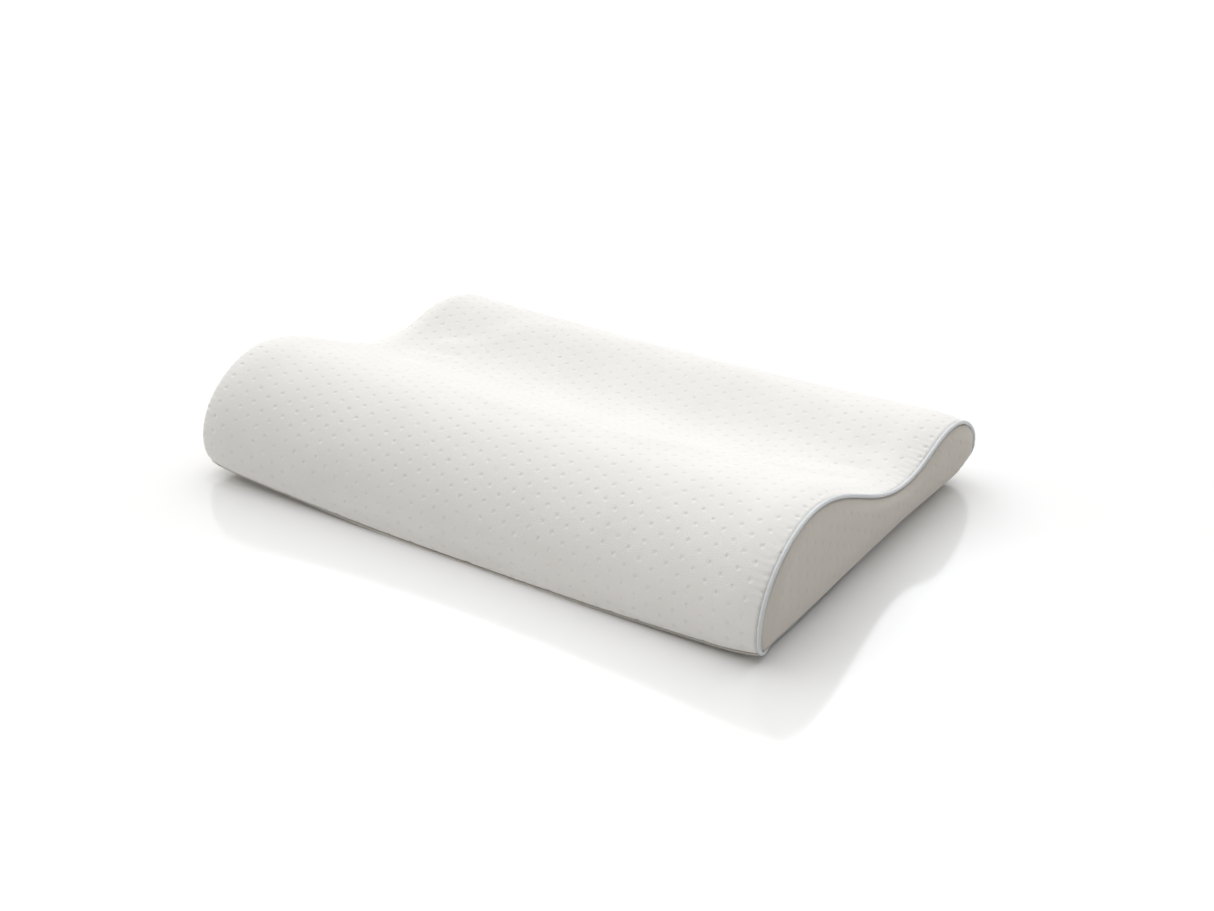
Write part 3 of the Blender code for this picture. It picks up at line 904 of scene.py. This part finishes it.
def make_velour(name, low, high):
    """Double-knit velour: a short soft pile, matt, with a faint bloom at glancing angles, and
    painted shade in its pits.
    """
    made, tree, shader = new_material(
        name,
        {
            "Roughness": 0.92,
            "Specular IOR Level": 0.06,
            "Sheen Weight": 0.06,
            "Sheen Roughness": 0.45,
        },
    )
    cloth = add(tree, "ShaderNodeUVMap", uv_map="cloth").outputs["UV"]
    # Pile tufts stand 0.3 mm apart; drawn at 0.9 mm so that they show.
    pile = add(tree, "ShaderNodeTexNoise", {"Scale": 1100.0, "Detail": 2.0}, {"Vector": cloth})
    shade = add(tree, "ShaderNodeTexNoise", {"Scale": 22.0, "Detail": 3.0}, {"Vector": cloth})
    pit = add(tree, "ShaderNodeAttribute", attribute_name="pit").outputs["Fac"]
    ends = {FIRST: colour(low), SECOND: colour(high)}
    tone = add(tree, "ShaderNodeMix", ends, {0: shade.outputs["Fac"]}, data_type="RGBA")
    # Painted shade: the pits are mixed darker, towards #CFCAC1, by their depth.
    pit_shade = add(tree, "ShaderNodeMath", {1: 0.15}, {0: pit}, operation="MULTIPLY")
    sources = {0: pit_shade.outputs[0], FIRST: tone.outputs[BLEND]}
    pit_shade_tone = {SECOND: colour("#CFCAC1")}
    tone = add(tree, "ShaderNodeMix", pit_shade_tone, sources, data_type="RGBA")
    tree.links.new(tone.outputs[BLEND], shader.inputs["Base Color"])
    relief = add(tree, "ShaderNodeBump", {"Distance": 0.00025}, {"Height": pile.outputs["Fac"]})
    tree.links.new(relief.outputs["Normal"], shader.inputs["Normal"])
    return made


def make_satin():
    """Satin bias tape over cord: a fine close weave, soft gloss."""
    values = {"Base Color": colour("#CFD2D4"), "Roughness": 0.42, "Specular IOR Level": 0.5}
    made, tree, shader = new_material("satin bias tape", values)
    place = add(tree, "ShaderNodeTexCoord").outputs["Object"]
    weave = add(tree, "ShaderNodeTexNoise", {"Scale": 1500.0, "Detail": 1.0}, {"Vector": place})
    relief = add(tree, "ShaderNodeBump", {"Distance": 0.00012}, {"Height": weave.outputs["Fac"]})
    tree.links.new(relief.outputs["Normal"], shader.inputs["Normal"])
    return made


def make_base_knit():
    """Plain jersey knit underneath: flat, matt, with fine wales."""
    values = {"Roughness": 0.95, "Specular IOR Level": 0.2}
    made, tree, shader = new_material("plain jersey knit", values)
    cloth = add(tree, "ShaderNodeUVMap", uv_map="cloth").outputs["UV"]
    # Wales are 0.7 mm apart; drawn at 2.8 mm so that they show, the courses at 2.1 mm.
    wales = add(tree, "ShaderNodeTexWave", {"Scale": 112.0}, {"Vector": cloth})
    courses = add(
        tree, "ShaderNodeTexWave", {"Scale": 150.0}, {"Vector": cloth}, bands_direction="Y"
    )
    both = add(
        tree,
        "ShaderNodeMath",
        None,
        {0: wales.outputs["Fac"], 1: courses.outputs["Fac"]},
        operation="MULTIPLY",
    )
    ends = {FIRST: colour("#DFDCD6"), SECOND: colour("#E9E6E1")}
    tone = add(tree, "ShaderNodeMix", ends, {0: both.outputs[0]}, data_type="RGBA")
    tree.links.new(tone.outputs[BLEND], shader.inputs["Base Color"])
    relief = add(tree, "ShaderNodeBump", {"Distance": 0.0002}, {"Height": both.outputs[0]})
    tree.links.new(relief.outputs["Normal"], shader.inputs["Normal"])
    return made


def make_foam():
    """Viscoelastic foam: moulded, matt, with a fine open skin."""
    values = {"Base Color": colour("#F2E9CF"), "Roughness": 0.9}
    made, tree, shader = new_material("viscoelastic foam", values)
    place = add(tree, "ShaderNodeTexCoord").outputs["Object"]
    cells = add(tree, "ShaderNodeTexVoronoi", {"Scale": 700.0}, {"Vector": place})
    depth = cells.outputs["Distance"]
    relief = add(tree, "ShaderNodeBump", {"Distance": 0.0003}, {"Height": depth})
    tree.links.new(relief.outputs["Normal"], shader.inputs["Normal"])
    return made


def make_tape():
    """Woven polyester zip tape: close rib, matt."""
    values = {"Base Color": colour("#E6E6E2"), "Roughness": 0.85, "Specular IOR Level": 0.3}
    made, tree, shader = new_material("woven polyester tape", values)
    place = add(tree, "ShaderNodeTexCoord").outputs["Object"]
    rib = add(
        tree, "ShaderNodeTexWave", {"Scale": 220.0}, {"Vector": place}, bands_direction="Z"
    )
    relief = add(tree, "ShaderNodeBump", {"Distance": 0.0002}, {"Height": rib.outputs["Fac"]})
    tree.links.new(relief.outputs["Normal"], shader.inputs["Normal"])
    return made


def make_nylon():
    """Moulded nylon monofilament: a little waxy, soft gloss."""
    values = {"Base Color": colour("#ECECE8"), "Roughness": 0.38}
    return new_material("nylon monofilament", values)[0]


def make_metal():
    """Nickel-plated zinc die casting: bright, with a soft tumbled surface."""
    values = {"Base Color": colour("#C9CACC"), "Roughness": 0.27, "Metallic": 1.0}
    made, tree, shader = new_material("nickel-plated zinc", values)
    place = add(tree, "ShaderNodeTexCoord").outputs["Object"]
    grain = add(tree, "ShaderNodeTexNoise", {"Scale": 900.0, "Detail": 2.0}, {"Vector": place})
    relief = add(tree, "ShaderNodeBump", {"Distance": 0.00003}, {"Height": grain.outputs["Fac"]})
    tree.links.new(relief.outputs["Normal"], shader.inputs["Normal"])
    return made


# --- build ----------------------------------------------------------------------------------

VELOUR = make_velour("double-knit velour", "#E3E1DE", "#E9E8E6")
# The end panels are the band's velour in a darker, warmer copy: painted shade, for the sides that
# stand in shade.
SHADED_END_VELOUR = make_velour("double-knit velour, painted shade", "#C8C2B9", "#CFC9C1")
SATIN = make_satin()
BASE_KNIT = make_base_knit()
FOAM = make_foam()
TAPE = make_tape()
NYLON = make_nylon()
METAL = make_metal()

foam_pad(FOAM)
band(VELOUR)
base_panel(BASE_KNIT)
end_panel(1, "cover_end_right", SHADED_END_VELOUR)
end_panel(-1, "cover_end_left", SHADED_END_VELOUR)
piping(1, "piping_cord_right", SATIN)
piping(-1, "piping_cord_left", SATIN)

for turn, word in ((1, "upper"), (-1, "lower")):
    tape(turn, f"zip_woven_tape_{word}", TAPE)
    chain(turn, f"zip_nylon_chain_{word}", NYLON)
    stitches(turn, f"zip_stitches_{word}", TAPE)

ZIP_METAL = ["zip_top_stop_upper", "zip_top_stop_lower", "zip_bottom_stop", "zip_slider"]
for part_name in [*ZIP_METAL, "zip_pull_tab"]:
    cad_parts[part_name].material_slots[0].material = METAL


# --- camera, floor and light ----------------------------------------------------------------


def camera():
    """The view from the front and right, a little above."""
    azimuth, elevation, tilt = math.radians(34.88), math.radians(25.38), math.radians(-0.375)
    lens = bpy.data.cameras.new("camera")
    lens.lens = 49.42
    lens.sensor_width = 36.0
    lens.shift_x = -0.0017
    lens.shift_y = -0.0007
    lens.clip_end = 100.0
    eye = bpy.data.objects.new("camera", lens)
    turn = Matrix.Rotation(azimuth, 4, "Z") @ Matrix.Rotation(math.pi / 2 - elevation, 4, "X")
    turn = turn @ Matrix.Rotation(tilt, 4, "Z")
    eye.matrix_world = Matrix.Translation((0.6819, -0.9468, 0.5708)) @ turn
    bpy.context.scene.collection.objects.link(eye)
    bpy.context.scene.camera = eye


def floor():
    """A wide glossy white board that mirrors the pillow faintly."""
    bm = bmesh.new()
    bmesh.ops.create_grid(bm, x_segments=2, y_segments=2, size=20.0)
    mesh = bpy.data.meshes.new("floor")
    bm.to_mesh(mesh)
    bm.free()
    values = {"Base Color": colour("#E9E9E9"), "Roughness": 0.12, "IOR": 1.66}
    mesh.materials.append(new_material("glossy white board", values)[0])
    obj = bpy.data.objects.new("floor", mesh)
    bpy.context.scene.collection.objects.link(obj)


def sun(name, strength, tint, spread, azimuth, elevation):
    """A soft distant light that comes from a compass direction, in degrees."""
    lamp = bpy.data.lights.new(name, "SUN")
    lamp.color = tint
    lamp.energy = strength
    lamp.angle = math.radians(spread)
    obj = bpy.data.objects.new(name, lamp)
    turn = Matrix.Rotation(math.radians(azimuth), 4, "Z")
    obj.matrix_world = turn @ Matrix.Rotation(math.radians(90 - elevation), 4, "X")
    bpy.context.scene.collection.objects.link(obj)


def studio():
    """A white room, brightest behind and to the left, and a broad soft light from above."""
    world = bpy.data.worlds.new("studio")
    world.use_nodes = True
    tree = world.node_tree
    way = add(tree, "ShaderNodeTexCoord").outputs["Generated"]
    behind = add(
        tree,
        "ShaderNodeVectorMath",
        {1: (-0.57, 0.82, 0.05)},
        {0: way},
        operation="DOT_PRODUCT",
    )
    share = add(
        tree,
        "ShaderNodeMapRange",
        {"From Min": -0.1, "From Max": 0.7, "To Min": 0.15, "To Max": 0.90},
        {"Value": behind.outputs["Value"]},
        interpolation_type="SMOOTHSTEP",
    )
    sky = tree.nodes["Background"]
    sky.inputs["Color"].default_value = (1.0, 0.97, 0.92, 1.0)
    tree.links.new(share.outputs["Result"], sky.inputs["Strength"])
    walls = add(tree, "ShaderNodeBackground", {"Strength": 1.2, "Color": (1.0, 1.0, 1.0, 1.0)})
    ray = add(tree, "ShaderNodeLightPath").outputs["Is Diffuse Ray"]
    both = add(
        tree,
        "ShaderNodeMixShader",
        None,
        {0: ray, 1: walls.outputs["Background"], 2: sky.outputs["Background"]},
    )
    tree.links.new(both.outputs["Shader"], tree.nodes["World Output"].inputs["Surface"])
    bpy.context.scene.world = world
    bpy.context.scene.view_settings.view_transform = "Standard"
    sun("overhead", 2.30, (0.95, 0.975, 1.0), 92, 214, 74)
    sun("front fill", 0.60, (1.0, 0.92, 0.82), 70, -48, 25)


camera()
floor()
studio()
